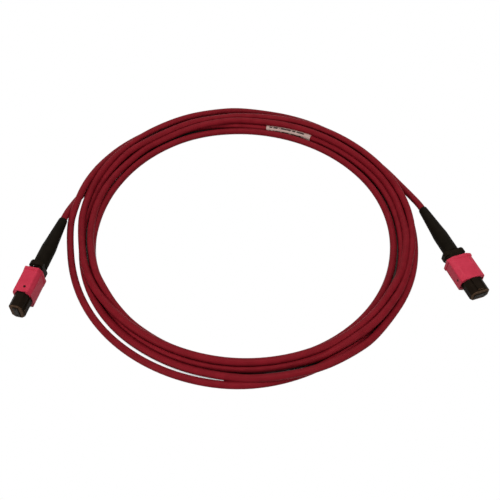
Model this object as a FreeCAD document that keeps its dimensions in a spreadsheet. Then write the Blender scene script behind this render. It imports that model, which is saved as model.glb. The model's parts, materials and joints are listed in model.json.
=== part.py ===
import FreeCAD, Part
import Sketcher
import math
import os

from FreeCAD import Placement, Rotation, Vector

# Fibre optic patch cable: a round jacketed cable wound into a flat coil, with the same
# push-pull multi-fibre connector on each end. Lengths are in mm, angles in degrees, +Z is up
# and the coil lies on the floor at z = 0.

os.makedirs("parts", exist_ok=True)
doc = FreeCAD.newDocument("fibre_patch_cable")

# Driving dimensions
# A connector is measured along its own axis, back from the front face of the plug frame.
sizes = {
    "cable_diameter": 3.5,
    "cable_sides": 12,
    "coil_x": -4.674,
    "coil_y": -3.53,
    "inner_turn_radius": 76.3,
    "turn_pitch": 3.9,
    "coil_height": 5.1,
    "turn_groove": 0.7,
    "turn_crown": 0.8,
    "turn_shoulder": 1.2,
    "turn_foot": 0.6,
    "left_tip_x": -104.29,
    "left_tip_y": -52.84,
    "left_back_angle": 77.55,
    "left_roll": 90,
    "left_axis_height": "=sleeve_width / 2 + sleeve_rim_rise",
    "right_tip_x": 112.42,
    "right_tip_y": -42.04,
    "right_back_angle": 109.22,
    "right_roll": 0,
    "right_axis_height": "=sleeve_height / 2 + sleeve_rim_rise",
    "plug_width": 9.7,
    "plug_height": 6.7,
    "plug_chamfer": 1.7,
    "plug_nose_chamfer": 0.4,
    "plug_length": 22.0,
    "key_width": 3.0,
    "key_height": 0.7,
    "key_front": 0.9,
    "key_length": 12.0,
    "window_width": 6.8,
    "window_height": 2.9,
    "window_depth": 5.4,
    "cavity_width": 7.5,
    "cavity_height": 4.6,
    "lug_front": 9.9,
    "lug_length": 1.3,
    "lug_reach": 5.45,
    "lug_height": 2.6,
    "spring_groove_front": 12.0,
    "spring_groove_floor": 4.2,
    "spring_groove_height": 1.7,
    "sleeve_front": 7.8,
    "sleeve_length": 14.0,
    "sleeve_width": 12.5,
    "sleeve_height": 9.0,
    "sleeve_flat": 7.4,
    "sleeve_side": 4.4,
    "sleeve_clearance": 0.2,
    "sleeve_room_width": 11.3,
    "sleeve_room_height": 4.4,
    "sleeve_web_front": 11.3,
    "sleeve_web": 1.0,
    "key_slot_width": 3.5,
    "key_slot_top": 4.15,
    "sleeve_rim_length": 1.5,
    "sleeve_rim_rise": 0.3,
    "dot_diameter": 0.9,
    "dot_back": 2.7,
    "dot_rise": 0.95,
    "dot_depth": 0.9,
    "sleeve_spring_radius": 0.5,
    "sleeve_spring_wire": 0.28,
    "sleeve_spring_side": 4.92,
    "ferrule_front": -0.4,
    "ferrule_width": 6.4,
    "ferrule_height": 2.5,
    "flange_front": 5.45,
    "flange_width": 7.2,
    "flange_height": 4.0,
    "flange_length": 2.05,
    "guide_hole_diameter": 0.7,
    "guide_hole_spacing": 4.6,
    "ferrule_pocket_width": 3.5,
    "ferrule_pocket_height": 1.8,
    "ferrule_pocket_depth": 2.6,
    "keeper_front": 7.55,
    "keeper_length": 1.95,
    "keeper_width": 7.1,
    "keeper_height": 4.1,
    "keeper_window_width": 4.8,
    "keeper_window_height": 2.1,
    "inner_boot_front": 4.95,
    "inner_boot_length": 5.4,
    "inner_boot_width": 3.4,
    "inner_boot_height": 1.7,
    "ribbon_width": 3.1,
    "ribbon_height": 0.3,
    "ribbon_slot_width": 3.2,
    "ribbon_slot_height": 0.4,
    "ribbon_front": 5.0,
    "ferrule_spring_front": 9.6,
    "ferrule_spring_rear": 18.1,
    "ferrule_spring_half_width": 2.75,
    "ferrule_spring_half_height": 1.75,
    "ferrule_spring_wire": 0.5,
    "push_front": 18.2,
    "leg_front": 12.5,
    "leg_inside": 3.2,
    "leg_outside": 3.7,
    "leg_height": 2.6,
    "push_width": 7.45,
    "push_height": 4.55,
    "push_bore_width": 4.6,
    "push_bore_height": 2.0,
    "collar_front": 22.1,
    "collar_length": 2.3,
    "collar_width": 9.6,
    "collar_height": 6.6,
    "collar_chamfer": 1.6,
    "ear_width": 11.0,
    "ear_height": 4.0,
    "ear_chamfer": 0.9,
    "ear_length": 0.8,
    "ear_front": "=collar_front + collar_length - ear_length",
    "stop_length": 2.5,
    "stop_width": 11.3,
    "stop_height": 6.7,
    "stop_chamfer": 1.4,
    "housing_rear": "=collar_front + collar_length + stop_length",
    "post_diameter": 5.0,
    "post_bore": 3.9,
    "post_bore_overlap": 1.0,
    "post_length": 7.5,
    "crimp_gap": 0.6,
    "crimp_front": "=housing_rear + crimp_gap",
    "crimp_length": 6.6,
    "crimp_bore": 5.1,
    "crimp_flats": 5.5,
    "seat_gap": 0.05,
    "boot_front": "=housing_rear + seat_gap",
    "boot_front_diameter": 7.5,
    "boot_knee_front": 38.8,
    "boot_knee_front_diameter": 7.4,
    "boot_knee": 40.6,
    "boot_knee_diameter": 7.1,
    "boot_rear_diameter": 4.5,
    "boot_lip": 0.7,
    "boot_lip_diameter": 3.9,
    "boot_end": 57.9,
    "boot_sides": 24,
    "boot_socket_diameter": 6.5,
    "boot_socket_depth": 7.9,
    "boot_bore": 3.6,
    "jacket_gap": 0.2,
    "jacket_front": "=housing_rear + post_length + jacket_gap",
    "bury": 0.5,
    "label_start": 60.8,
    "label_sweep": 19.7,
    "label_thickness": 0.2,
}
sheet = doc.addObject("Spreadsheet::Sheet", "dims")
for row, (alias, value) in enumerate(sizes.items(), start=1):
    sheet.set(f"A{row}", alias)
    sheet.set(f"B{row}", str(value))
    sheet.setAlias(f"B{row}", alias)
doc.recompute()

subparts = {}


def size(text):
    """A value worked out from the sheet, for shapes that are not sketched."""
    return float(sheet.evalExpression(text))


def origin_feature(body, role):
    return next(f for f in body.Origin.OriginFeatures if f.Role == role)


def new_body(name):
    subparts[name] = doc.addObject("PartDesign::Body", name)
    return subparts[name]


def outline(body, plane, offset, corners):
    """Closed outline of straight edges, every corner tied to the sheet."""
    sketch = body.newObject("Sketcher::SketchObject", body.Name + "_outline")
    sketch.AttachmentSupport = (origin_feature(body, plane), [""])
    sketch.MapMode = "FlatFace"
    sketch.setExpression("AttachmentOffset.Base.z", offset)
    points = [Vector(size(x), size(y), 0) for x, y in corners]
    count = len(points)
    for i in range(count):
        sketch.addGeometry(Part.LineSegment(points[i], points[(i + 1) % count]))
    for i in range(count):
        sketch.addConstraint(Sketcher.Constraint("Coincident", i, 2, (i + 1) % count, 1))
    for i, (x, y) in enumerate(corners):
        for kind, text, axis in (("DistanceX", x, -2), ("DistanceY", y, -1)):
            if text == "0":
                sketch.addConstraint(Sketcher.Constraint("PointOnObject", i, 1, axis))
                continue
            tie = Sketcher.Constraint(kind, -1, 1, i, 1, size(text))
            index = sketch.addConstraint(tie)
            sketch.setExpression(f"Constraints[{index}]", text)
    return sketch


def circle(body, plane, offset, x, y, diameter):
    """One circle tied to the sheet by its centre and diameter."""
    sketch = body.newObject("Sketcher::SketchObject", body.Name + "_circle")
    sketch.AttachmentSupport = (origin_feature(body, plane), [""])
    sketch.MapMode = "FlatFace"
    sketch.setExpression("AttachmentOffset.Base.z", offset)
    centre = Vector(size(x), size(y), 0)
    sketch.addGeometry(Part.Circle(centre, Vector(0, 0, 1), size(diameter) / 2))
    ties = [("DistanceX", x, -2), ("DistanceY", y, -1)]
    for kind, text, axis in ties:
        if text == "0":
            sketch.addConstraint(Sketcher.Constraint("PointOnObject", 0, 3, axis))
            continue
        index = sketch.addConstraint(Sketcher.Constraint(kind, -1, 1, 0, 3, size(text)))
        sketch.setExpression(f"Constraints[{index}]", text)
    index = sketch.addConstraint(Sketcher.Constraint("Diameter", 0, size(diameter)))
    sketch.setExpression(f"Constraints[{index}]", diameter)
    return sketch


def rectangle(width, height):
    w, h = f"({width}) / 2", f"({height}) / 2"
    return [(f"-{w}", f"-{h}"), (w, f"-{h}"), (w, h), (f"-{w}", h)]


def chamfered(width, height, chamfer):
    w, h = f"({width}) / 2", f"({height}) / 2"
    wc, hc = f"(({width}) / 2 - ({chamfer}))", f"(({height}) / 2 - ({chamfer}))"
    lower = [(f"-{wc}", f"-{h}"), (wc, f"-{h}"), (w, f"-{hc}"), (w, hc)]
    upper = [(wc, h), (f"-{wc}", h), (f"-{w}", hc), (f"-{w}", f"-{hc}")]
    return lower + upper


def band(y_from, y_to, height):
    h = f"({height}) / 2"
    return [(y_from, f"-{h}"), (y_to, f"-{h}"), (y_to, h), (y_from, h)]


def add(body, sketch, length):
    pad = body.newObject("PartDesign::Pad", body.Name + "_pad")
    pad.Profile = sketch
    pad.setExpression("Length", length)
    return pad


def cut(body, sketch, length):
    pocket = body.newObject("PartDesign::Pocket", body.Name + "_pocket")
    pocket.Profile = sketch
    pocket.setExpression("Length", length)
    pocket.Reversed = True
    return pocket


def turn(body, sketch, axis, angle="360"):
    spin = body.newObject("PartDesign::Revolution", body.Name + "_turned")
    spin.Profile = sketch
    spin.ReferenceAxis = (origin_feature(body, axis), [""])
    spin.setExpression("Angle", angle)
    return spin


def place_on_connector(item, side):
    """Turns a piece about the connector's axis, then to its heading, and moves it to the tip."""
    across = f"dims.coil_x + dims.{side}_tip_x; dims.coil_y + dims.{side}_tip_y"
    base = f"vector({across}; dims.{side}_axis_height)"
    turned = f"rotation(dims.{side}_back_angle; 0; dims.{side}_roll)"
    item.setExpression("Placement", f"placement({base}; {turned})")


def plug_frame(side):
    """Moulded inner housing with its key, the ferrule window and the stops for the sleeve."""
    body = new_body(f"{side}_plug_frame")
    section = chamfered("dims.plug_width", "dims.plug_height", "dims.plug_chamfer")
    block = add(body, outline(body, "YZ_Plane", "0", section), "dims.plug_length")
    doc.recompute()
    nose = body.newObject("PartDesign::Chamfer", body.Name + "_nose")
    front_edges = []
    for number, edge in enumerate(block.Shape.Edges, start=1):
        if all(abs(v.X) < 1e-6 for v in edge.Vertexes):
            front_edges.append(f"Edge{number}")
    nose.Base = (block, front_edges)
    nose.setExpression("Size", "dims.plug_nose_chamfer")
    key = [
        ("-dims.key_width / 2", "dims.plug_height / 2 - dims.bury"),
        ("dims.key_width / 2", "dims.plug_height / 2 - dims.bury"),
        ("dims.key_width / 2", "dims.plug_height / 2 + dims.key_height"),
        ("-dims.key_width / 2", "dims.plug_height / 2 + dims.key_height"),
    ]
    add(body, outline(body, "YZ_Plane", "dims.key_front", key), "dims.key_length")
    lugs = rectangle("2 * dims.lug_reach", "dims.lug_height")
    add(body, outline(body, "YZ_Plane", "dims.lug_front", lugs), "dims.lug_length")
    window = rectangle("dims.window_width", "dims.window_height")
    cut(body, outline(body, "YZ_Plane", "0", window), "dims.window_depth")
    cavity = rectangle("dims.cavity_width", "dims.cavity_height")
    cavity_length = "dims.plug_length - dims.window_depth"
    cut(body, outline(body, "YZ_Plane", "dims.window_depth", cavity), cavity_length)
    groove_length = "dims.plug_length - dims.spring_groove_front"
    for sign in ("", "-"):
        ends = (f"{sign}dims.spring_groove_floor", f"{sign}(dims.plug_width / 2 + dims.bury)")
        groove = band(ends[0], ends[1], "dims.spring_groove_height")
        cut(body, outline(body, "YZ_Plane", "dims.spring_groove_front", groove), groove_length)
    return body


def sleeve_section(growth):
    """Flattened octagon of the sleeve, grown outwards for its rim."""
    flat, wall = "dims.sleeve_flat / 2", f"(dims.sleeve_width / 2 + {growth})"
    rise, roof = "dims.sleeve_side / 2", f"(dims.sleeve_height / 2 + {growth})"
    lower = [(f"-{flat}", f"-{roof}"), (flat, f"-{roof}"), (wall, f"-{rise}"), (wall, rise)]
    upper = [(flat, roof), (f"-{flat}", roof), (f"-{wall}", rise), (f"-{wall}", f"-{rise}")]
    return lower + upper


def coupling_sleeve(side):
    """Sliding sleeve: octagon with a rear rim outside, rooms for latch arms and springs inside."""
    body = new_body(f"{side}_coupling_sleeve")
    shell = sleeve_section("0")
    add(body, outline(body, "YZ_Plane", "dims.sleeve_front", shell), "dims.sleeve_length")
    rear = "(dims.sleeve_front + dims.sleeve_length)"
    rim = sleeve_section("dims.sleeve_rim_rise")
    rim_front = f"{rear} - dims.sleeve_rim_length"
    add(body, outline(body, "YZ_Plane", rim_front, rim), "dims.sleeve_rim_length")
    inner_width = "dims.plug_width + 2 * dims.sleeve_clearance"
    inner_height = "dims.plug_height + 2 * dims.sleeve_clearance"
    bore = chamfered(inner_width, inner_height, "dims.plug_chamfer")
    cut(body, outline(body, "YZ_Plane", "dims.sleeve_front", bore), "dims.sleeve_length")
    slot = [
        ("-dims.key_slot_width / 2", "0"),
        ("dims.key_slot_width / 2", "0"),
        ("dims.key_slot_width / 2", "dims.key_slot_top"),
        ("-dims.key_slot_width / 2", "dims.key_slot_top"),
    ]
    cut(body, outline(body, "YZ_Plane", "dims.sleeve_front", slot), "dims.sleeve_length")
    room = rectangle("dims.sleeve_room_width", "dims.sleeve_room_height")
    front_room = "dims.sleeve_web_front - dims.sleeve_front"
    cut(body, outline(body, "YZ_Plane", "dims.sleeve_front", room), front_room)
    web_rear = "dims.sleeve_web_front + dims.sleeve_web"
    rear_room = f"{rear} - dims.sleeve_web_front - dims.sleeve_web"
    cut(body, outline(body, "YZ_Plane", web_rear, room), rear_room)
    dot_x, outer_wall = "dims.sleeve_front + dims.dot_back", "-(dims.sleeve_width / 2 + dims.bury)"
    dot = circle(body, "XZ_Plane", outer_wall, dot_x, "dims.dot_rise", "dims.dot_diameter")
    cut(body, dot, "dims.dot_depth + dims.bury")
    return body


def ferrule(side):
    """Moulded fibre holder with a flange at the back and two guide holes right through."""
    body = new_body(f"{side}_ferrule")
    nose = rectangle("dims.ferrule_width", "dims.ferrule_height")
    nose_length = "dims.flange_front - dims.ferrule_front"
    add(body, outline(body, "YZ_Plane", "dims.ferrule_front", nose), nose_length)
    flange = rectangle("dims.flange_width", "dims.flange_height")
    add(body, outline(body, "YZ_Plane", "dims.flange_front", flange), "dims.flange_length")
    rear = "dims.flange_front + dims.flange_length"
    pocket = rectangle("dims.ferrule_pocket_width", "dims.ferrule_pocket_height")
    pocket_front = f"{rear} - dims.ferrule_pocket_depth"
    cut(body, outline(body, "YZ_Plane", pocket_front, pocket), "dims.ferrule_pocket_depth")
    for sign in ("", "-"):
        side_offset = f"{sign}dims.guide_hole_spacing / 2"
        hole = circle(
            body, "YZ_Plane", "dims.ferrule_front", side_offset, "0", "dims.guide_hole_diameter"
        )
        cut(body, hole, f"{rear} - dims.ferrule_front")
    return body


def pin_keeper(side):
    """Plate between the ferrule and its spring, with a window for the ribbon boot."""
    body = new_body(f"{side}_pin_keeper")
    plate = rectangle("dims.keeper_width", "dims.keeper_height")
    add(body, outline(body, "YZ_Plane", "dims.keeper_front", plate), "dims.keeper_length")
    window = rectangle("dims.keeper_window_width", "dims.keeper_window_height")
    cut(body, outline(body, "YZ_Plane", "dims.keeper_front", window), "dims.keeper_length")
    return body


def ferrule_boot(side):
    """Soft block in the back of the ferrule, slotted for the fibre ribbon."""
    body = new_body(f"{side}_ferrule_boot")
    block = rectangle("dims.inner_boot_width", "dims.inner_boot_height")
    add(body, outline(body, "YZ_Plane", "dims.inner_boot_front", block), "dims.inner_boot_length")
    slot = rectangle("dims.ribbon_slot_width", "dims.ribbon_slot_height")
    cut(body, outline(body, "YZ_Plane", "dims.inner_boot_front", slot), "dims.inner_boot_length")
    return body


def spring_push(side):
    """Rear housing: legs and a plug in the frame, collar with ears, sleeve stop, crimp post."""
    body = new_body(f"{side}_spring_push")
    collar = chamfered("dims.collar_width", "dims.collar_height", "dims.collar_chamfer")
    add(body, outline(body, "YZ_Plane", "dims.collar_front", collar), "dims.collar_length")
    ears = chamfered("dims.ear_width", "dims.ear_height", "dims.ear_chamfer")
    add(body, outline(body, "YZ_Plane", "dims.ear_front", ears), "dims.ear_length")
    stop = chamfered("dims.stop_width", "dims.stop_height", "dims.stop_chamfer")
    stop_front = "dims.collar_front + dims.collar_length"
    add(body, outline(body, "YZ_Plane", stop_front, stop), "dims.stop_length")
    for sign in ("", "-"):
        ends = (f"{sign}dims.spring_groove_floor", f"{sign}(dims.collar_width / 2 + dims.bury)")
        groove = band(ends[0], ends[1], "dims.spring_groove_height")
        groove_length = "dims.ear_front - dims.collar_front"
        cut(body, outline(body, "YZ_Plane", "dims.collar_front", groove), groove_length)
    insert = rectangle("dims.push_width", "dims.push_height")
    insert_length = "dims.collar_front - dims.push_front"
    add(body, outline(body, "YZ_Plane", "dims.push_front", insert), insert_length)
    leg_length = "dims.push_front - dims.leg_front"
    for sign in ("", "-"):
        leg = band(f"{sign}dims.leg_inside", f"{sign}dims.leg_outside", "dims.leg_height")
        add(body, outline(body, "YZ_Plane", "dims.leg_front", leg), leg_length)
    post = circle(body, "YZ_Plane", "dims.housing_rear", "0", "0", "dims.post_diameter")
    add(body, post, "dims.post_length")
    passage = rectangle("dims.push_bore_width", "dims.push_bore_height")
    passage_length = "dims.housing_rear - dims.push_front"
    cut(body, outline(body, "YZ_Plane", "dims.push_front", passage), passage_length)
    bore_front = "dims.housing_rear - dims.post_bore_overlap"
    bore = circle(body, "YZ_Plane", bore_front, "0", "0", "dims.post_bore")
    cut(body, bore, "dims.post_length + dims.post_bore_overlap")
    return body


def crimp_ring(side):
    """Metal ring over the post and the strength yarns, pressed to a hexagon."""
    body = new_body(f"{side}_crimp_ring")
    corner, flat = "dims.crimp_flats / sqrt(3)", "dims.crimp_flats / 2"
    half_side = f"({corner}) / 2"
    hexagon = [
        (corner, "0"),
        (half_side, flat),
        (f"-{half_side}", flat),
        (f"-{corner}", "0"),
        (f"-{half_side}", f"-{flat}"),
        (half_side, f"-{flat}"),
    ]
    add(body, outline(body, "YZ_Plane", "dims.crimp_front", hexagon), "dims.crimp_length")
    bore = circle(body, "YZ_Plane", "dims.crimp_front", "0", "0", "dims.crimp_bore")
    cut(body, bore, "dims.crimp_length")
    return body


def strain_relief_boot(side):
    """Moulded tail with a knee halfway, hollow in front to cover the crimp ring."""
    name = f"{side}_strain_relief_boot"
    stations = [
        ("dims.boot_front", "dims.boot_front_diameter"),
        ("dims.boot_knee_front", "dims.boot_knee_front_diameter"),
        ("dims.boot_knee", "dims.boot_knee_diameter"),
        ("dims.boot_end - dims.boot_lip", "dims.boot_rear_diameter"),
        ("dims.boot_end", "dims.boot_lip_diameter"),
    ]
    along_axis = Placement(Vector(0, 0, 0), Rotation(Vector(0, 1, 0), 90))
    rings = []
    for place, diameter in stations:
        ring = doc.addObject("Part::RegularPolygon", name + "_ring")
        ring.Placement = along_axis
        ring.setExpression("Polygon", "dims.boot_sides")
        ring.setExpression("Circumradius", f"{diameter} / 2")
        ring.setExpression("Placement.Base.x", place)
        rings.append(ring)
    tail = doc.addObject("Part::Loft", name + "_tail")
    tail.Sections = rings
    tail.Solid = True
    tail.Ruled = True
    socket = doc.addObject("Part::Cylinder", name + "_socket")
    socket.Placement = along_axis
    socket.setExpression("Placement.Base.x", "dims.boot_front")
    socket.setExpression("Radius", "dims.boot_socket_diameter / 2")
    socket.setExpression("Height", "dims.boot_socket_depth")
    bore = doc.addObject("Part::Cylinder", name + "_bore")
    bore.Placement = along_axis
    bore.setExpression("Placement.Base.x", "dims.boot_front")
    bore.setExpression("Radius", "dims.boot_bore / 2")
    bore.setExpression("Height", "dims.boot_end - dims.boot_front")
    hollow = doc.addObject("Part::MultiFuse", name + "_hollow")
    hollow.Shapes = [socket, bore]
    boot = doc.addObject("Part::Cut", name)
    boot.Base = tail
    boot.Tool = hollow
    subparts[name] = boot
    return boot


def fibre_ribbon(side):
    """Flat twelve-fibre ribbon from the ferrule to the end of the jacket."""
    body = new_body(f"{side}_fibre_ribbon")
    strip = rectangle("dims.ribbon_width", "dims.ribbon_height")
    strip_length = "dims.jacket_front - dims.ribbon_front"
    add(body, outline(body, "YZ_Plane", "dims.ribbon_front", strip), strip_length)
    return body


def cable_end(side):
    """Last straight stretch of the cable, inside the strain relief boot."""
    body = new_body(f"{side}_cable_end")
    round_end = circle(body, "YZ_Plane", "dims.jacket_front", "0", "0", "dims.cable_diameter")
    add(body, round_end, "dims.boot_end - dims.jacket_front")
    return body


def spring(name, x_from, x_to, y, half_width, half_height, wire, turns, corners):
    """Compression spring of square wire, its coils drawn as straight runs between corners."""
    steps = turns * corners
    rings = []
    for step in range(steps + 1):
        angle = 2 * math.pi * step / corners
        x = x_from + wire / 2 + (x_to - x_from - wire) * step / steps
        ring = []
        for along, out in ((-1, -1), (1, -1), (1, 1), (-1, 1)):
            across = (half_width + out * wire / 2) * math.cos(angle)
            up = (half_height + out * wire / 2) * math.sin(angle)
            ring.append(Vector(x + along * wire / 2, y + across, up))
        rings.append(ring)
    facets = [rings[0], rings[-1]]
    for ring, following in zip(rings, rings[1:]):
        for i in range(4):
            j = (i + 1) % 4
            facets.append([ring[i], ring[j], following[j]])
            facets.append([ring[i], following[j], following[i]])
    skin = Part.makeShell([Part.Face(Part.makePolygon(f + f[:1])) for f in facets])
    skin.sewShape()
    solid = Part.makeSolid(skin)
    if solid.Volume < 0:
        solid.reverse()
    item = doc.addObject("Part::Feature", name)
    item.Shape = solid
    subparts[name] = item
    return item


def springs(side):
    web_rear = size("dims.sleeve_web_front + dims.sleeve_web")
    for number, sign in ((1, 1), (2, -1)):
        item = spring(
            f"{side}_sleeve_spring_{number}",
            web_rear + size("dims.seat_gap"),
            size("dims.ear_front - dims.seat_gap"),
            sign * size("dims.sleeve_spring_side"),
            size("dims.sleeve_spring_radius"),
            size("dims.sleeve_spring_radius"),
            size("dims.sleeve_spring_wire"),
            turns=5,
            corners=6,
        )
        place_on_connector(item, side)
    item = spring(
        f"{side}_ferrule_spring",
        size("dims.ferrule_spring_front"),
        size("dims.ferrule_spring_rear"),
        0,
        size("dims.ferrule_spring_half_width"),
        size("dims.ferrule_spring_half_height"),
        size("dims.ferrule_spring_wire"),
        turns=4,
        corners=8,
    )
    place_on_connector(item, side)


# Both connectors
makers = [
    plug_frame,
    coupling_sleeve,
    ferrule,
    pin_keeper,
    ferrule_boot,
    spring_push,
    crimp_ring,
    strain_relief_boot,
    fibre_ribbon,
    cable_end,
]
for side in ("left", "right"):
    for maker in makers:
        place_on_connector(maker(side), side)
    springs(side)

# The wound part of the cable, as the outer shape of its turns side by side
coil = new_body("cable_coil")
coil.setExpression("Placement.Base.x", "dims.coil_x")
coil.setExpression("Placement.Base.y", "dims.coil_y")
turns_across = 4
inside = "(dims.inner_turn_radius - dims.cable_diameter / 2)"
outside = f"({inside} + {turns_across - 1} * dims.turn_pitch + dims.cable_diameter)"
shoulder = "dims.coil_height - dims.turn_shoulder"
coil_section = [
    (f"{inside} + dims.turn_foot", "0"),
    (f"{outside} - dims.turn_foot", "0"),
    (outside, "dims.turn_foot"),
    (outside, shoulder),
]
for number in reversed(range(turns_across)):
    middle = f"(dims.inner_turn_radius + {number} * dims.turn_pitch)"
    coil_section.append((f"{middle} + dims.turn_crown", "dims.coil_height"))
    coil_section.append((f"{middle} - dims.turn_crown", "dims.coil_height"))
    if number > 0:
        valley = (f"{middle} - dims.turn_pitch / 2", "dims.coil_height - dims.turn_groove")
        coil_section.append(valley)
coil_section.append((inside, shoulder))
coil_section.append((inside, "dims.turn_foot"))
turn(coil, outline(coil, "XZ_Plane", "0", coil_section), "Z_Axis")

# The wrap label, a thin strip bent over the middle turn of the coil
label = new_body("marker_label")
label.Placement = Placement(Vector(0, 0, 0), Rotation(Vector(0, 0, 1), 90))
label.setExpression("Placement.Base.x", "dims.coil_x")
label.setExpression("Placement.Base.y", "dims.coil_y")
label.setExpression("Placement.Rotation.Angle", "dims.label_start")
middle = "(dims.inner_turn_radius + dims.turn_pitch)"
crest, dip = "dims.coil_height", "(dims.coil_height - dims.turn_groove)"
under_face = [
    (f"{middle} - dims.turn_pitch / 2", dip),
    (f"{middle} - dims.turn_crown", crest),
    (f"{middle} + dims.turn_crown", crest),
    (f"{middle} + dims.turn_pitch / 2", dip),
]
upper_face = [(x, f"{z} + dims.label_thickness") for x, z in reversed(under_face)]
label_section = under_face + upper_face
turn(label, outline(label, "XZ_Plane", "0", label_section), "Z_Axis", "dims.label_sweep")

# Routes of the two leads, chosen by hand round the coil's centre: angle, radius and height of
# the centre line. Each one ends inside the outer turn of the coil.
routes = {
    # from the left boot down to the floor and into the coil
    "cable_lead_left": [
        (177.69, 91.88, 6.55),
        (173.97, 91.02, 6.55),
        (166.8, 89.5, 4.6),
        (158.6, 88.0, 2.6),
        (150.3, 86.6, 2.0),
    ],
    # out of the coil at the upper left, along its outside and up to the right boot
    "cable_lead_right": [
        (130.0, 87.4, 3.2),
        (117.0, 91.6, 3.2),
        (103.0, 95.0, 2.2),
        (87.0, 96.2, 1.75),
        (69.0, 95.6, 1.75),
        (52.0, 94.6, 1.75),
        (37.5, 92.6, 1.75),
        (27.8, 91.6, 1.95),
        (18.8, 91.8, 3.4),
        (11.32, 93.20, 4.8),
        (7.71, 94.21, 4.8),
    ],
}


CORNER_SHARE = 0.45
VOLUME_TOLERANCE = 0.02
TIGHTEST_BEND_DIAMETERS = 5


def cable_run(name, route):
    """Round cable along straight runs joined by tangent arcs."""
    points = []
    for angle, radius, height in route:
        x = size("dims.coil_x") + radius * math.cos(math.radians(angle))
        y = size("dims.coil_y") + radius * math.sin(math.radians(angle))
        points.append(Vector(x, y, height))
    edges, radii, start = [], [], points[0]
    for before, corner, after in zip(points, points[1:], points[2:]):
        back, ahead = before - corner, after - corner
        trim = CORNER_SHARE * min(back.Length, ahead.Length)
        back.normalize()
        ahead.normalize()
        half_turn = (math.pi - back.getAngle(ahead)) / 2
        radius = trim / math.tan(half_turn)
        inward = back + ahead
        inward.normalize()
        middle = corner + inward * (radius / math.cos(half_turn) - radius)
        edges.append(Part.makeLine(start, corner + back * trim))
        edges.append(Part.Arc(corner + back * trim, middle, corner + ahead * trim).toShape())
        start = corner + ahead * trim
        radii.append(radius)
    edges.append(Part.makeLine(start, points[-1]))
    path = Part.Wire(edges)
    sides = int(size("dims.cable_sides"))
    cable_area = math.pi * size("dims.cable_diameter") ** 2 / 4
    corner_radius = math.sqrt(2 * cable_area / (sides * math.sin(2 * math.pi / sides)))
    level = (points[1] - points[0]).cross(Vector(0, 0, 1))
    level.normalize()
    section = []
    for number in range(sides):
        angle = 2 * math.pi * (number + 0.5) / sides
        across, up = corner_radius * math.cos(angle), corner_radius * math.sin(angle)
        section.append(points[0] + level * across + Vector(0, 0, up))
    ring = Part.makePolygon(section + section[:1])
    item = doc.addObject("Part::Feature", name)
    item.Shape = path.makePipeShell([ring], True, False)
    subparts[name] = item
    share = item.Shape.Volume / (cable_area * path.Length)
    print(name, "length", round(path.Length, 1), "radii", [round(r) for r in radii])
    print(name, "volume over section times length", round(share, 4))
    tightest = TIGHTEST_BEND_DIAMETERS * size("dims.cable_diameter")
    if abs(share - 1) > VOLUME_TOLERANCE or min(radii) < tightest:
        raise ValueError(name + ": route too tight")


for name, route in routes.items():
    cable_run(name, route)

doc.recompute()

for item in doc.Objects:
    if "Invalid" in item.State or "Error" in item.State:
        raise ValueError(f"{item.Name}: {item.State}")

whole = FreeCAD.BoundBox()
for name, item in subparts.items():
    shape = item.Shape
    if not shape.isValid() or len(shape.Solids) != 1 or shape.Volume <= 0:
        raise ValueError(f"{name}: valid {shape.isValid()}, solids {len(shape.Solids)}")
    shape.exportStep(f"parts/{item.Label}.step")
    whole.add(shape.BoundBox)
    print(name, "volume", round(shape.Volume, 2))
print("overall", whole)
print("centre", round(whole.Center.x, 3), round(whole.Center.y, 3), "floor", round(whole.ZMin, 4))
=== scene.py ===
import json
import math

import bmesh
import bpy
from mathutils import Matrix, Vector


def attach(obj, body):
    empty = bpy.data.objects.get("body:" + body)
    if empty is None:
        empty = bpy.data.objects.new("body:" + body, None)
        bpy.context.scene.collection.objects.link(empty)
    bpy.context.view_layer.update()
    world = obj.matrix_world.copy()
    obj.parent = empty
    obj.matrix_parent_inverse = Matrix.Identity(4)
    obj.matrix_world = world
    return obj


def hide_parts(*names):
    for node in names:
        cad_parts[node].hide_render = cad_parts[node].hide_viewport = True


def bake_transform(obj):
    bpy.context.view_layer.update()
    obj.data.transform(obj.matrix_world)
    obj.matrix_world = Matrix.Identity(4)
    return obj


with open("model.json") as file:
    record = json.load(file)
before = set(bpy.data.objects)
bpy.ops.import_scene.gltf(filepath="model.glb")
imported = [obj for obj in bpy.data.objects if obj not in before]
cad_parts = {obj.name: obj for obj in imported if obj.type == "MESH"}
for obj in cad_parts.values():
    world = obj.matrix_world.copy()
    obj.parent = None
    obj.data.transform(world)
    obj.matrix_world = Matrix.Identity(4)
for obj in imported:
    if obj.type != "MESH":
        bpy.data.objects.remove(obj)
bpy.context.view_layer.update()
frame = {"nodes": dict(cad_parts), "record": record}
nodes = frame["nodes"]

# Patch cable: one length of round cable, a crimson jacket extruded over fibres and yarns.
# It is wound by hand into a loose coil of five turns that lie beside and on each other, and both
# ends go into the strain relief boots of the connectors.
MM = 0.001
CABLE_DIAMETER = 3.5 * MM
COIL_CENTRE = Vector((-4.674, -3.53, 0)) * MM

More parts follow.
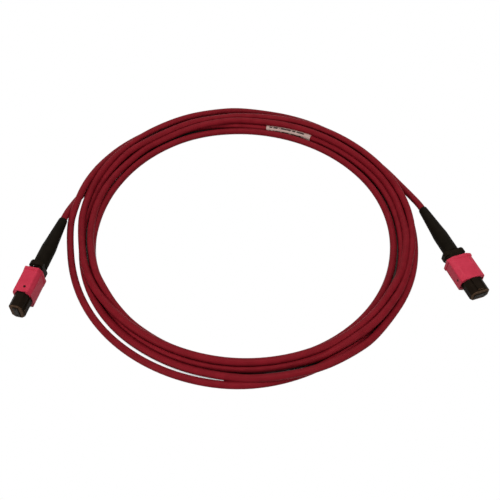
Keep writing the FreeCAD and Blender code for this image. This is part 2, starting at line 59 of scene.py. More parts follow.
# stations of the middle line, clockwise seen from above: angle, radius and height in mm
left_lead = [
    (177.69, 91.88, 6.55), (175.22, 91.26, 6.55), (170.5, 90.9, 4.3), (164, 89.9, 2.4),
    (157, 88.3, 1.85), (150, 86.9, 1.75), (142, 85.6, 1.75),
]
label_turn = [
    (130, 84.5, 1.75), (112.5, 84.3, 1.75), (101, 82.3, 1.75), (90, 79.9, 1.75),
    (67.5, 80.1, 1.75), (45, 80.0, 1.75), (22.5, 80.7, 1.75), (0, 80.2, 1.75),
    (-22.5, 81.5, 1.75), (-45, 83.4, 1.75), (-67.5, 86.5, 1.75), (-90, 88.4, 1.75),
    (-112.5, 88.1, 1.75), (-135, 87.8, 1.75), (-157.5, 87.2, 1.75),
]
loose_turn = [
    (180, 87.9, 4.6), (171, 87.5, 7.4), (163, 88.3, 7.2), (156, 89.3, 6.2),
    (148, 90.8, 4.2), (137, 92.8, 1.9), (125, 92.3, 1.75), (112.5, 90.0, 1.75),
    (101, 86.9, 1.75), (90, 84.3, 1.75), (67.5, 85.0, 1.75), (45, 84.6, 1.75),
    (22.5, 86.9, 1.75), (0, 87.0, 1.75), (-22.5, 87.5, 1.75), (-45, 87.4, 1.9),
    (-56, 88.1, 4.4), (-67.5, 88.3, 5.3), (-80, 87.0, 5.2), (-92, 85.3, 3.4),
    (-112.5, 83.2, 1.75), (-135, 83.1, 2.1), (-157.5, 82.2, 1.75),
]
upper_turn = [
    (180, 82.0, 1.75), (170, 82.4, 1.9), (157.5, 83.6, 2.6), (146, 83.8, 4.7),
    (135, 84.3, 5.25), (112.5, 85.2, 5.2), (101, 85.0, 5.15), (90, 85.3, 5.2),
    (67.5, 86.9, 4.8), (45, 86.8, 4.9), (22.5, 86.8, 5.25), (0, 86.1, 5.1),
    (-22.5, 84.6, 3.7), (-36, 84.0, 5.0), (-45, 83.8, 5.2), (-56, 82.9, 4.9),
    (-67.5, 82.0, 2.3), (-90, 80.4, 1.75), (-112.5, 79.6, 1.75), (-135, 79.7, 1.75),
    (-157.5, 78.0, 1.75),
]
inner_turn = [
    (180, 76.0, 1.75), (157.5, 75.9, 1.75), (135, 76.8, 1.75), (112.5, 77.5, 1.75),
    (90, 76.2, 1.75), (67.5, 75.3, 1.75), (45, 75.3, 1.75), (22.5, 75.95, 1.75),
    (0, 76.3, 1.75), (-22.5, 77.1, 1.75), (-45, 77.5, 1.75), (-67.5, 77.8, 1.75),
    (-90, 76.7, 1.75), (-112.5, 76.2, 1.75), (-130, 76.0, 1.75), (-141, 76.2, 3.6),
    (-150, 76.2, 5.2), (-160, 76.6, 5.3),
]
riding_turn = [
    (180, 77.3, 4.9), (157.5, 79.25, 4.0), (135, 81.0, 3.3), (124, 81.1, 3.4),
    (112.5, 81.6, 4.4), (101, 81.6, 5.2), (90, 81.8, 5.0), (67.5, 82.3, 4.4),
    (45, 82.2, 4.35), (22.5, 83.9, 3.3), (0, 82.5, 4.6), (-11, 82.0, 5.2),
    (-22.5, 81.5, 5.2), (-45, 80.4, 4.6), (-67.5, 79.2, 4.95), (-90, 78.3, 4.9),
    (-112.5, 77.7, 4.9), (-135, 78.3, 5.2), (-157.5, 80.9, 5.2), (180, 82.0, 5.3),
    (170, 83.8, 5.3), (157.5, 86.0, 5.2), (146, 87.5, 5.3), (135, 88.8, 4.9),
    (125, 89.5, 5.2), (112.5, 90.3, 5.4), (101, 92.4, 3.4), (90, 93.7, 1.8),
    (67.5, 91.3, 1.75), (45, 89.0, 1.75),
]
right_lead = [
    (35, 88.9, 1.75), (28, 89.7, 1.75), (21.5, 90.3, 2.3), (15.4, 91.5, 3.6),
    (9.51, 93.66, 4.8), (7.71, 94.21, 4.8),
]
stations = (
    left_lead + label_turn + loose_turn + upper_turn + inner_turn + riding_turn + right_lead
)


def station_point(angle, radius, height):
    """A station's place in the row frame."""
    turn = math.radians(angle)
    return COIL_CENTRE + Vector((radius * math.cos(turn), radius * math.sin(turn), height)) * MM


# a control point stands outside the turn by as much as the spline cuts the corner
control_points = [station_point(*stations[0]), station_point(*stations[1])]
for before, here, after in zip(stations[1:], stations[2:-2], stations[3:]):
    swing = math.radians((before[0] - after[0]) % 360) / 4
    control_points.append(station_point(here[0], here[1] / math.cos(swing), here[2]))
control_points += [station_point(*stations[-2]), station_point(*stations[-1])]

cable_line = bpy.data.curves.new("cable", "CURVE")
cable_line.dimensions = "3D"
cable_spline = cable_line.splines.new("NURBS")
cable_spline.points.add(len(control_points) - 1)
for point, place in zip(cable_spline.points, control_points):
    point.co = (*place, 1)
cable_spline.order_u = 3
cable_spline.use_endpoint_u = True
cable_line.resolution_u = 10
cable = bpy.data.objects.new("cable", cable_line)
bpy.context.scene.collection.objects.link(cable)
centre_line = bpy.data.meshes.new_from_object(cable)
centre_points = [v.co.copy() for v in centre_line.vertices]
cable_line.bevel_depth = CABLE_DIAMETER / 2
cable_line.bevel_resolution = 6
cable_line.use_fill_caps = True


def linear(red, green, blue):
    """A screen colour, 0 to 255, as the shader wants it."""
    parts = []
    for value in (red, green, blue):
        value /= 255
        parts.append(value / 12.92 if value <= 0.04045 else ((value + 0.055) / 1.055) ** 2.4)
    return (*parts, 1)


def moulded(name, colour, shade, patch, grain, depth, roughness, specular, sheen=(1, 1, 1, 1)):
    """Plastic with a little cloudiness in its colour and a fine grain on its skin."""
    material = bpy.data.materials.new(name)
    material.use_nodes = True
    tree = material.node_tree
    shader = tree.nodes["Principled BSDF"]
    shader.inputs["Specular IOR Level"].default_value = specular
    shader.inputs["Specular Tint"].default_value = sheen
    where = tree.nodes.new("ShaderNodeTexCoord")
    cloud = tree.nodes.new("ShaderNodeTexNoise")
    cloud.inputs["Scale"].default_value = patch
    cloud.inputs["Detail"].default_value = 4
    ramp = tree.nodes.new("ShaderNodeValToRGB")
    ramp.color_ramp.elements[0].position = 0.3
    ramp.color_ramp.elements[0].color = shade
    ramp.color_ramp.elements[1].position = 0.7
    ramp.color_ramp.elements[1].color = colour
    skin = tree.nodes.new("ShaderNodeTexNoise")
    skin.inputs["Scale"].default_value = grain
    skin.inputs["Detail"].default_value = 3
    gloss = tree.nodes.new("ShaderNodeMapRange")
    gloss.inputs["To Min"].default_value = roughness - 0.06
    gloss.inputs["To Max"].default_value = roughness + 0.06
    bump = tree.nodes.new("ShaderNodeBump")
    bump.inputs["Strength"].default_value = 0.5
    bump.inputs["Distance"].default_value = depth
    links = tree.links
    links.new(where.outputs["Object"], cloud.inputs["Vector"])
    links.new(where.outputs["Object"], skin.inputs["Vector"])
    links.new(cloud.outputs["Fac"], ramp.inputs["Fac"])
    links.new(ramp.outputs["Color"], shader.inputs["Base Color"])
    links.new(skin.outputs["Fac"], gloss.inputs["Value"])
    links.new(gloss.outputs["Result"], shader.inputs["Roughness"])
    links.new(skin.outputs["Fac"], bump.inputs["Height"])
    links.new(bump.outputs["Normal"], shader.inputs["Normal"])
    return material


jacket = moulded(
    "crimson_jacket", linear(126, 25, 35), linear(112, 20, 29), patch=220,
    grain=2500, depth=0.00003, roughness=0.5, specular=0.07, sheen=linear(255, 190, 180),
)
cable_line.materials.append(jacket)
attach(cable, "cable")
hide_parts("cable_coil", "cable_lead_left", "cable_lead_right")

# Wrap label: a strip of white self-adhesive film rolled once round the jacket of the turn that
# lies in the middle of the coil. Its print is a few plain bars, and its end overlaps below.
LABEL_FROM, LABEL_TO = 80.5, 61.3
LABEL_RADIUS = CABLE_DIAMETER / 2 + 0.18 * MM
FILM_THICKNESS = 0.1 * MM


def angle_of(point):
    """Where a point lies round the coil, in degrees."""
    return math.degrees(math.atan2(point.y - COIL_CENTRE.y, point.x - COIL_CENTRE.x))


# the label is on the first turn, and the first sixth of the line's points takes in most of that
first_turn = centre_points[: len(centre_points) // 6]
under_label = []
for here, following in zip(first_turn, first_turn[1:]):
    start, end = angle_of(here), angle_of(following)
    for edge in (LABEL_FROM, LABEL_TO):
        if start >= edge > end:
            under_label.append(here.lerp(following, (start - edge) / (start - end)))
    if LABEL_TO < end < LABEL_FROM:
        under_label.append(following)
label_line = bpy.data.curves.new("wrap_label", "CURVE")
label_line.dimensions = "3D"
label_spline = label_line.splines.new("POLY")
label_spline.points.add(len(under_label) - 1)
for point, place in zip(label_spline.points, under_label):
    point.co = (*place, 1)
label_line.bevel_depth = LABEL_RADIUS
label_line.bevel_resolution = 8
label_tube = bpy.data.objects.new("wrap_label_tube", label_line)
bpy.context.scene.collection.objects.link(label_tube)
label_mesh = bpy.data.meshes.new_from_object(label_tube)
bpy.data.objects.remove(label_tube)
label = bpy.data.objects.new("wrap_label", label_mesh)
bpy.context.scene.collection.objects.link(label)
film = label.modifiers.new("film_thickness", "SOLIDIFY")
film.thickness = FILM_THICKNESS
film.offset = -1
label_mesh.shade_smooth()

paper = moulded(
    "label_film", linear(189, 163, 154), linear(177, 150, 141), patch=300,
    grain=2600, depth=0.00002, roughness=0.55, specular=0.25,
)
tree = paper.node_tree
print_at = tree.nodes.new("ShaderNodeTexCoord")
across = tree.nodes.new("ShaderNodeSeparateXYZ")
tree.links.new(print_at.outputs["UV"], across.inputs["Vector"])


def reckon(operation, first, second):
    """One Math node in the tree at hand, from numbers or other nodes' outputs."""
    step = tree.nodes.new("ShaderNodeMath")
    step.operation = operation
    for socket, value in zip(step.inputs, (first, second)):
        if isinstance(value, (int, float)):
            socket.default_value = value
        else:
            tree.links.new(value, socket)
    return step.outputs["Value"]


# rows of plain bars: cells along the label are inked or left blank at random, row by row. Lengths
# are shares of the label's length, and rows are shares of its girth
PRINT_FROM, PRINT_TO, CELLS, CELLS_BLANK = 0.15, 0.82, 58, 0.14
FIRST_ROW, ROW_PITCH, ROW_INKED, ROW_SEED = 0.195, 0.19, 0.48, 100
length_share, girth_share = across.outputs["X"], across.outputs["Y"]
row = reckon("DIVIDE", reckon("SUBTRACT", girth_share, FIRST_ROW), ROW_PITCH)
in_row = reckon("LESS_THAN", reckon("FRACT", row, 0), ROW_INKED)
cell = reckon("FLOOR", reckon("MULTIPLY", length_share, CELLS), 0)
dice = tree.nodes.new("ShaderNodeTexWhiteNoise")
dice.noise_dimensions = "1D"
row_number = reckon("MULTIPLY", reckon("FLOOR", row, 0), ROW_SEED)
tree.links.new(reckon("ADD", cell, row_number), dice.inputs["W"])
inked = reckon("GREATER_THAN", dice.outputs["Value"], CELLS_BLANK)
after_start = reckon("GREATER_THAN", length_share, PRINT_FROM)
before_end = reckon("LESS_THAN", length_share, PRINT_TO)
inside = reckon("MULTIPLY", after_start, before_end)
ink_share = reckon("MULTIPLY", reckon("MULTIPLY", in_row, inked), inside)
ink = tree.nodes.new("ShaderNodeMix")
ink.data_type = "RGBA"
ink.inputs["B"].default_value = linear(58, 44, 40)
film_colour = tree.nodes["Color Ramp"].outputs["Color"]
tree.links.new(ink_share, ink.inputs["Factor"])
tree.links.new(film_colour, ink.inputs["A"])
tree.links.new(ink.outputs["Result"], tree.nodes["Principled BSDF"].inputs["Base Color"])
label_mesh.materials.clear()
label_mesh.materials.append(paper)
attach(label, "cable")
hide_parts("marker_label")

# Strain relief boots: soft black rubber tails moulded with a knee, pushed over the crimped end
# of the cable so that it bends gently where it leaves the connector.
mounts = {mount["name"]: mount for mount in frame["record"]["mounts"]}


def connector_frame(side):
    """Matrix from a connector's own axes, x back along it and z to its key, to the row frame."""
    tip = Vector(mounts[f"{side}_plug"]["pos_m"])
    back = -Vector(mounts[f"{side}_plug"]["axis"])
    first_hole = Vector(mounts[f"{side}_guide_hole_1"]["pos_m"])
    across = (first_hole - Vector(mounts[f"{side}_guide_hole_2"]["pos_m"])).normalized()
    turn = Matrix((back, across, back.cross(across))).transposed()
    return Matrix.Translation(tip) @ turn.to_4x4() @ Matrix.Scale(MM, 4)


def finished_piece(name, shape, side, body, finish, sharp=35):
    """Puts a bmesh drawn in a connector's own mm into the row frame, on a body if it has one."""
    bmesh.ops.transform(shape, matrix=connector_frame(side), verts=shape.verts)
    mesh = bpy.data.meshes.new(name)
    shape.to_mesh(mesh)
    shape.free()
    mesh.shade_smooth()
    mesh.set_sharp_from_angle(angle=math.radians(sharp))
    mesh.materials.clear()
    mesh.materials.append(finish)
    piece = bpy.data.objects.new(name, mesh)
    bpy.context.scene.collection.objects.link(piece)
    if body:
        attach(piece, body)
    return piece


rubber = moulded(
    "boot_rubber", linear(26, 22, 17), linear(19, 16, 12), patch=200,
    grain=2200, depth=0.00004, roughness=0.5, specular=0.02, sheen=linear(255, 225, 190),
)
# distance back from the plug's front and radius, round the wall of the boot
boot_profile = [
    (26.95, 3.25), (26.95, 3.6), (27.15, 3.75), (38.2, 3.71), (39.4, 3.66), (40.6, 3.52),
    (42.2, 3.38), (57.0, 2.28), (57.5, 2.2), (57.8, 2.08), (57.9, 1.95), (57.9, 1.8),
    (34.85, 1.8), (34.85, 3.25),
]
for side in ("left", "right"):
    shape = bmesh.new()
    corners = [shape.verts.new((along, 0, radius)) for along, radius in boot_profile]
    edges = [shape.edges.new(pair) for pair in zip(corners, corners[1:] + corners[:1])]
    bmesh.ops.spin(
        shape, geom=corners + edges, cent=(0, 0, 0), axis=(1, 0, 0),
        angle=math.tau, steps=64, use_merge=True,
    )
    bmesh.ops.remove_doubles(shape, verts=shape.verts, dist=0.0005)
    bmesh.ops.recalc_face_normals(shape, faces=shape.faces)
    finished_piece(f"{side}_boot", shape, side, "cable", rubber)
    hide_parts(f"{side}_strain_relief_boot")

# Rear housings: black moulded pieces that close the plug from behind. The collar carries two thin
# ears for the springs and the stop that the sleeve runs against, and a post takes the crimp.
black = moulded(
    "black_plastic", linear(32, 25, 19), linear(24, 19, 14), patch=300,
    grain=3000, depth=0.00003, roughness=0.4, specular=0.02, sheen=linear(255, 220, 180),
)


def cad_copy(side, node):
    """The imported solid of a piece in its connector's own mm, with flat faces made whole."""
    shape = bmesh.new()
    shape.from_mesh(nodes[f"{side}_{node}"].data)
    bmesh.ops.transform(shape, matrix=connector_frame(side).inverted(), verts=shape.verts)
    bmesh.ops.remove_doubles(shape, verts=shape.verts, dist=0.001)
    bmesh.ops.dissolve_limit(
        shape, angle_limit=math.radians(1), verts=shape.verts, edges=shape.edges,
    )
    return shape


def outward(face):
    """True for a face that looks away from the connector's axis, or along it."""
    return face.normal.yz.dot(face.calc_center_median().yz) > -0.001


CORNER_ANGLE = 0.3


def soften(shape, chosen, radius, segments):
    """Rounds the outer corners that a rule on an edge's two ends picks."""
    edges = []
    for edge in shape.edges:
        corner = edge.is_convex and edge.calc_face_angle(0) > CORNER_ANGLE
        if corner and all(map(outward, edge.link_faces)) and chosen(*(v.co for v in edge.verts)):
            edges.append(edge)
    bmesh.ops.bevel(
        shape, geom=edges, offset=radius, offset_type="OFFSET", affect="EDGES",
        segments=segments, profile=0.5, material=-1, clamp_overlap=True,
    )


def evened(piece):
    """Keeps broad faces flat between rounded edges."""
    even = piece.modifiers.new("broad_faces_flat", "WEIGHTED_NORMAL")
    even.keep_sharp = True


# the stop is rounded where it stands clear of the post, and the step at its front is left sharp,
# because it is too thin
STOP_FRONT, POST_CLEAR = 24.4, 3.4


def on_stop(a, b):
    """True for an edge along the stop or behind it."""
    in_reach = min(a.x, b.x) > STOP_FRONT - 0.1 and max(a.x, b.x) > STOP_FRONT + 0.1
    return in_reach and min(a.yz.length, b.yz.length) > POST_CLEAR


housings = {}
for side in ("left", "right"):
    shape = cad_copy(side, "spring_push")
    soften(shape, on_stop, radius=0.25, segments=3)
    housings[side] = finished_piece(
        f"{side}_rear_housing", shape, side, "cable", black
    )
    evened(housings[side])
    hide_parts(f"{side}_spring_push")

# Plug frames: black moulded inner housings with a key on the upper side and a window in front for
# the ferrule. They clip over the rear housing and carry the sleeve. Their front faces are painted
# a paler brown: a painted glint, the reflection of the white floor in front.
# painted glint: a paler brown for the plug's front faces, in place of their reflection of the
# white floor
painted_glint = moulded(
    "front_painted_glint", linear(86, 65, 48), linear(64, 48, 36), patch=900,
    grain=3000, depth=0.00003, roughness=0.4, specular=0.02, sheen=linear(255, 220, 180),
)
# how far back the nose is rounded and carries the painted glint, and how far from the axis the
# window ends
NOSE_LENGTH, GLINT_LENGTH, WINDOW_REACH = 8, 4, 3.2


def on_nose(a, b):
    """True for an outer edge of the plug's nose."""
    return min(a.x, b.x) < NOSE_LENGTH and min(a.yz.length, b.yz.length) > WINDOW_REACH


plugs = {}
for side in ("left", "right"):
    shape = cad_copy(side, "plug_frame")
    soften(shape, on_nose, radius=0.12, segments=2)
    plugs[side] = finished_piece(f"{side}_plug", shape, side, "cable", black)
    evened(plugs[side])
    plugs[side].data.materials.append(painted_glint)
    to_connector = connector_frame(side).inverted()
    # forward-looking faces near the nose take the paler material, which paints the glint on them
    for face in plugs[side].data.polygons:
        looks_forward = (to_connector.to_3x3() @ face.normal).normalized().x < -0.6
        if looks_forward and (to_connector @ face.center).x < GLINT_LENGTH:
            face.material_index = 1
    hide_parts(f"{side}_plug_frame")

# Coupling sleeves: magenta moulded grips that slide on the plug frame against two springs. They
# have soft corners, a rim at the back and a drilled dot on one narrow side.
pink = moulded(
    "magenta_plastic", linear(202, 58, 80), linear(190, 50, 71), patch=250,
    grain=2600, depth=0.00003, roughness=0.45, specular=0.12, sheen=linear(255, 205, 205),
)
# the narrow sides stand taller than in the solid: where they start, their corners' height and how
# far the corners move
NARROW_SIDE, CORNER_RISE, CORNER_LIFT = 6.2, 2.2, 1.2
# the rim at the back is short, and stands too little proud for its front edge to be rounded
RIM_STEP, RIM_LENGTH = 20.3, 1.5
# the dot is a thin black disc laid flush over a drilled mark, which makes the mark dark: distance
# back, side and rise in the connector's own mm
DOT_BACK, DOT_SIDE, DOT_RISE = 10.5, 6.25, 0.95
DOT_DIAMETER, DOT_THICKNESS, DOT_EDGE = 1.3, 0.06, 0.015


def along_sleeve(a, b):
    """True for an edge that runs along the sleeve in front of its rim."""
    return abs(a.x - b.x) > RIM_LENGTH + 0.5


def at_sleeve_end(a, b):
    """True for an edge round the front or the back."""
    return abs(a.x - b.x) < 0.01 and abs(a.x - RIM_STEP) > 0.1


sleeves, dots = {}, {}
for side in ("left", "right"):
    shape = cad_copy(side, "coupling_sleeve")
    for sign in (1, -1):
        corners = [
            v for v in shape.verts
            if abs(v.co.y) > NARROW_SIDE and abs(v.co.z - sign * CORNER_RISE) < 0.02
        ]
        bmesh.ops.translate(shape, verts=corners, vec=(0, 0, sign * CORNER_LIFT))
    soften(shape, along_sleeve, radius=0.6, segments=4)
    soften(shape, at_sleeve_end, radius=0.2, segments=2)
    sleeves[side] = finished_piece(
        f"{side}_sleeve", shape, side, f"{side}_sleeve", pink
    )
    evened(sleeves[side])
    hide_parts(f"{side}_coupling_sleeve")
    shape = bmesh.new()
    place = Matrix.Translation((DOT_BACK, DOT_SIDE, DOT_RISE))
    bmesh.ops.create_cone(
        shape, cap_ends=True, segments=32, radius1=DOT_DIAMETER / 2, radius2=DOT_DIAMETER / 2,
        depth=DOT_THICKNESS, matrix=place @ Matrix.Rotation(math.pi / 2, 4, "X"),
    )
    rim = [e for e in shape.edges if e.calc_face_angle(0) > 1]
    bmesh.ops.bevel(
        shape, geom=rim, offset=DOT_EDGE, affect="EDGES", segments=2, profile=0.5, material=-1,
    )
    dots[side] = finished_piece(
        f"{side}_sleeve_dot", shape, side, f"{side}_sleeve", black
    )

# Ferrules: glass-filled resin blocks, ground and polished in front, with two guide holes. Twelve
# glass fibres end in a row across the polished face, a quarter of a millimetre apart.
resin = moulded(
    "ferrule_resin", linear(34, 28, 22), linear(22, 18, 14), patch=900,
    grain=5000, depth=0.00002, roughness=0.35, specular=0.05, sheen=linear(255, 225, 190),
)
glass = moulded(
    "fibre_glass", linear(112, 108, 101), linear(92, 88, 82), patch=3000,
    grain=9000, depth=0.000005, roughness=0.15, specular=0.3,
)
FIBRE_DIAMETER, FIBRE_PITCH, FIBRE_COUNT, FIBRE_THICKNESS = 0.125, 0.25, 12, 0.03
FERRULE_FACE, FLANGE_FRONT, GUIDE_HOLE_REACH = -0.4, 5, 2.9


def on_ferrule_nose(a, b):
    """True for an edge in front of the flange and outside the guide holes."""
    return min(a.x, b.x) < FLANGE_FRONT and min(a.yz.length, b.yz.length) > GUIDE_HOLE_REACH


ferrules, fibre_ends = {}, {}
for side in ("left", "right"):
    shape = cad_copy(side, "ferrule")
    soften(shape, on_ferrule_nose, radius=0.1, segments=2)
    ferrules[side] = finished_piece(
        f"{side}_ferrule_block", shape, side, f"{side}_ferrule_group", resin
    )
    evened(ferrules[side])
    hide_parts(f"{side}_ferrule")
    shape = bmesh.new()
    for number in range(FIBRE_COUNT):
        across = (number - (FIBRE_COUNT - 1) / 2) * FIBRE_PITCH
        place = Matrix.Translation((FERRULE_FACE, across, 0))
        bmesh.ops.create_cone(
            shape, cap_ends=True, segments=16, radius1=FIBRE_DIAMETER / 2,
            radius2=FIBRE_DIAMETER / 2, depth=FIBRE_THICKNESS,
            matrix=place @ Matrix.Rotation(math.pi / 2, 4, "Y"),
        )
    fibre_ends[side] = finished_piece(
        f"{side}_fibre_ends", shape, side, f"{side}_ferrule_group", glass
    )

# Springs: drawn steel wire. Two small ones push the sleeve forward, and show at their rear ends in
# front of the collar's ears. An oval one behind the ferrule presses it out.
steel = bpy.data.materials.new("spring_steel")
steel.use_nodes = True
tree = steel.node_tree
shader = tree.nodes["Principled BSDF"]
shader.inputs["Metallic"].default_value = 1
where = tree.nodes.new("ShaderNodeTexCoord")
drawn = tree.nodes.new("ShaderNodeTexNoise")
drawn.inputs["Scale"].default_value = 3000
ramp = tree.nodes.new("ShaderNodeValToRGB")
ramp.color_ramp.elements[0].color = linear(150, 148, 144)
ramp.color_ramp.elements[1].color = linear(200, 198, 194)
gloss = tree.nodes.new("ShaderNodeMapRange")
gloss.inputs["To Min"].default_value = 0.25
gloss.inputs["To Max"].default_value = 0.4
tree.links.new(where.outputs["Object"], drawn.inputs["Vector"])
tree.links.new(drawn.outputs["Fac"], ramp.inputs["Fac"])
tree.links.new(ramp.outputs["Color"], shader.inputs["Base Color"])
tree.links.new(drawn.outputs["Fac"], gloss.inputs["Value"])
tree.links.new(gloss.outputs["Result"], shader.inputs["Roughness"])

WIRE_SIDES, STEPS_PER_TURN = 8, 18
SPRING_FRONT, SPRING_REAR, SPRING_TURNS = 12.35, 23.55, 9
SPRING_SIDE, SPRING_RADIUS, SPRING_WIRE = 4.92, 0.5, 0.28
OVAL_FRONT, OVAL_REAR, OVAL_TURNS = 9.6, 18.1, 6
OVAL_RADIUS, OVAL_WIRE, OVAL_STRAIGHT = 1.75, 0.5, 1.0


def wound_wire(front, rear, middle, radius, wire, turns):
    """Round wire wound along a connector's axis, or beside it where middle isn't 0."""
    shape = bmesh.new()
    place = Matrix.Translation((front + wire / 2, middle + radius, 0))
    bmesh.ops.create_circle(
        shape, segments=WIRE_SIDES, radius=wire / 2, matrix=place, cap_ends=False,
    )
    steps = turns * STEPS_PER_TURN
    bmesh.ops.spin(
        shape, geom=list(shape.verts) + list(shape.edges), cent=(0, middle, 0), axis=(1, 0, 0),
        dvec=((rear - front - wire) / steps, 0, 0), angle=math.tau * turns, steps=steps,
    )
    bmesh.ops.holes_fill(shape, edges=[e for e in shape.edges if e.is_boundary])
    bmesh.ops.recalc_face_normals(shape, faces=shape.faces)
    return shape


def between(piece):
    """Bakes the piece's place into its mesh, and puts it on no body."""
    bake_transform(piece)


springs = {"left": [], "right": []}
for side in ("left", "right"):
    for number, sign in ((1, 1), (2, -1)):
        shape = wound_wire(
            SPRING_FRONT, SPRING_REAR, sign * SPRING_SIDE, SPRING_RADIUS, SPRING_WIRE, SPRING_TURNS
        )
        coil_spring = finished_piece(
            f"{side}_coil_spring_{number}", shape, side, None, steel, sharp=60
        )
        between(coil_spring)
        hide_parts(f"{side}_sleeve_spring_{number}")
        springs[side].append(coil_spring)
    shape = wound_wire(OVAL_FRONT, OVAL_REAR, 0, OVAL_RADIUS, OVAL_WIRE, OVAL_TURNS)
    for sign in (1, -1):
        half = [v for v in shape.verts if v.co.y * sign > 0]
        bmesh.ops.translate(shape, verts=half, vec=(0, sign * OVAL_STRAIGHT, 0))
    oval_spring = finished_piece(f"{side}_oval_spring", shape, side, None, steel, sharp=60)
    between(oval_spring)
    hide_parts(f"{side}_ferrule_spring")
    springs[side].append(oval_spring)

# Fibre ribbons: twelve coated fibres side by side, glued into the ferrule in front. They run back
# through the springs to the cable, and bow a little where the ferrule is pressed in.
ribbons = {}
for side in ("left", "right"):
    shape = cad_copy(side, "fibre_ribbon")
    ribbons[side] = finished_piece(f"{side}_ribbon", shape, side, None, glass)
    between(ribbons[side])
    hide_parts(f"{side}_fibre_ribbon")

# Inside pieces: the pin keeper and rubber boot behind the ferrule, the plated crimp ring and the
# end of the jacket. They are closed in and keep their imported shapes.
INSIDE = {"pin_keeper": black, "ferrule_boot": rubber, "crimp_ring": steel, "cable_end": jacket}
for side in ("left", "right"):
    for node, finish in INSIDE.items():
        nodes[f"{side}_{node}"].data.materials.clear()
        nodes[f"{side}_{node}"].data.materials.append(finish)

# Floor, light and camera: a white sweep under the coil, soft boxes above, in front and behind, and
# the camera where the photographer stood. The sweep looks white, and keeps the contact shadow.
FLOOR_SIZE = 3
floor_mesh = bpy.data.meshes.new("floor")
plan = bmesh.new()
bmesh.ops.create_grid(plan, x_segments=1, y_segments=1, size=FLOOR_SIZE)
plan.to_mesh(floor_mesh)
plan.free()
floor = bpy.data.objects.new("floor", floor_mesh)
bpy.context.scene.collection.objects.link(floor)
sweep = bpy.data.materials.new("white_sweep")
sweep.use_nodes = True
tree = sweep.node_tree
matt = tree.nodes["Principled BSDF"]
matt.inputs["Base Color"].default_value = (0.06, 0.043, 0.037, 1)
matt.inputs["Roughness"].default_value = 0.9
matt.inputs["Specular IOR Level"].default_value = 0.1
glow = tree.nodes.new("ShaderNodeEmission")
glow.inputs["Strength"].default_value = 1
openness = tree.nodes.new("ShaderNodeAmbientOcclusion")
openness.inputs["Distance"].default_value = 5 * MM
openness.samples = 16
# close between the turns the floor lies in shade, and elsewhere only a contact shadow shows
in_coil = tree.nodes.new("ShaderNodeMapRange")
outside_coil = tree.nodes.new("ShaderNodeMapRange")
for shade, darkest, lightest in ((in_coil, 0.4, 0.6), (outside_coil, 0.04, 0.2)):
    shade.inputs["From Min"].default_value = darkest
    shade.inputs["From Max"].default_value = lightest
    tree.links.new(openness.outputs["AO"], shade.inputs["Value"])
where = tree.nodes.new("ShaderNodeTexCoord")
from_middle = tree.nodes.new("ShaderNodeVectorMath")
from_middle.operation = "SUBTRACT"
from_middle.inputs[1].default_value = COIL_CENTRE
tree.links.new(where.outputs["Object"], from_middle.inputs[0])
reach = tree.nodes.new("ShaderNodeVectorMath")
reach.operation = "LENGTH"
tree.links.new(from_middle.outputs["Vector"], reach.inputs[0])
plan_axes = tree.nodes.new("ShaderNodeSeparateXYZ")
tree.links.new(from_middle.outputs["Vector"], plan_axes.inputs["Vector"])
right, back, radius = plan_axes.outputs["X"], plan_axes.outputs["Y"], reach.outputs["Value"]


def both(first, second):
    """1 where both conditions hold."""
    return reckon("MULTIPLY", first, second)


# the floor is open where no turn of the coil stands between it and the light: outside the loose
# turn, closer in at the front and at the left, and inside the inner turn
LOOSE_TURN, FRONT_TURN, LEFT_TURN = 95.5 * MM, 87.2 * MM, 83.4 * MM
INNER_TURN, INNER_TURN_BEHIND = 75 * MM, 76.6 * MM
in_front = reckon("LESS_THAN", back, 50 * MM)
at_left = both(reckon("LESS_THAN", right, -8 * MM), reckon("LESS_THAN", back, 22 * MM))
behind = both(reckon("LESS_THAN", right, 30 * MM), reckon("GREATER_THAN", back, 20 * MM))
open_floor = reckon("GREATER_THAN", radius, LOOSE_TURN)
for place in (
    both(in_front, reckon("GREATER_THAN", radius, FRONT_TURN)),
    both(at_left, reckon("GREATER_THAN", radius, LEFT_TURN)),
    reckon("LESS_THAN", radius, INNER_TURN),
    both(behind, reckon("LESS_THAN", radius, INNER_TURN_BEHIND)),
):
    open_floor = reckon("MAXIMUM", open_floor, place)
clear = tree.nodes.new("ShaderNodeMix")
tree.links.new(open_floor, clear.inputs["Factor"])
tree.links.new(in_coil.outputs["Result"], clear.inputs["A"])
tree.links.new(outside_coil.outputs["Result"], clear.inputs["B"])


def seen_directly():
    """1 for rays from the eye, from gloss and through glass, which see the white of the studio."""
    ray = tree.nodes.new("ShaderNodeLightPath")
    mirrored = reckon("MAXIMUM", ray.outputs["Is Glossy Ray"], ray.outputs["Is Transmission Ray"])
    return reckon("MAXIMUM", ray.outputs["Is Camera Ray"], mirrored)


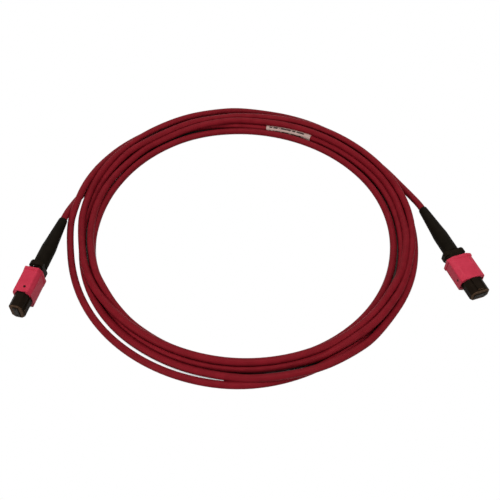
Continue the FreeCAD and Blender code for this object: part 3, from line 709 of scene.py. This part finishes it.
mix = tree.nodes.new("ShaderNodeMixShader")
tree.links.new(reckon("MULTIPLY", seen_directly(), clear.outputs["Result"]), mix.inputs[0])
tree.links.new(matt.outputs[0], mix.inputs[1])
tree.links.new(glow.outputs[0], mix.inputs[2])
tree.links.new(mix.outputs[0], tree.nodes["Material Output"].inputs["Surface"])
floor_mesh.materials.append(sweep)

world = bpy.data.worlds.new("studio")
bpy.context.scene.world = world
world.use_nodes = True
tree = world.node_tree
sky = tree.nodes["Background"]
sky.inputs["Color"].default_value = (1, 1, 1, 1)
sky.inputs["Strength"].default_value = 0.05
white = tree.nodes.new("ShaderNodeBackground")
white.inputs["Color"].default_value = (1, 1, 1, 1)
white.inputs["Strength"].default_value = 1
mix = tree.nodes.new("ShaderNodeMixShader")
tree.links.new(seen_directly(), mix.inputs[0])
tree.links.new(sky.outputs[0], mix.inputs[1])
tree.links.new(white.outputs[0], mix.inputs[2])
tree.links.new(mix.outputs[0], tree.nodes["World Output"].inputs["Surface"])

# each soft box is a square of this side, in metres, and faces the middle of the floor
SOFT_BOX_SIDE = 0.3
for name, place, watts in (
    ("key_box", (0.03, -0.06, 0.78), 3.35),
    ("left_box", (-0.55, -0.5, 0.28), 2.6),
    ("right_box", (0.55, -0.5, 0.28), 1.8),
    ("back_box", (0, 0.6, 0.4), 0.9),
):
    lamp = bpy.data.lights.new(name, "AREA")
    lamp.size = SOFT_BOX_SIDE
    lamp.energy = watts
    box = bpy.data.objects.new(name, lamp)
    box.location = place
    box.rotation_euler = (-Vector(place)).to_track_quat("-Z", "Y").to_euler()
    bpy.context.scene.collection.objects.link(box)

# the camera's place from the coil's middle, in mm, and its tilt up from looking straight down
CAMERA_PLACE, CAMERA_TILT, FOCAL_LENGTH = Vector((3.56, -241.7, 285.7)), 38.95, 52.32
lens = bpy.data.cameras.new("camera")
lens.sensor_width = 36
lens.lens = FOCAL_LENGTH
lens.clip_start = 0.01
camera = bpy.data.objects.new("camera", lens)
camera.location = COIL_CENTRE + CAMERA_PLACE * MM
camera.rotation_euler = (math.radians(CAMERA_TILT), 0, 0)
bpy.context.scene.collection.objects.link(camera)
bpy.context.scene.camera = camera
bpy.context.scene.view_settings.view_transform = "Standard"
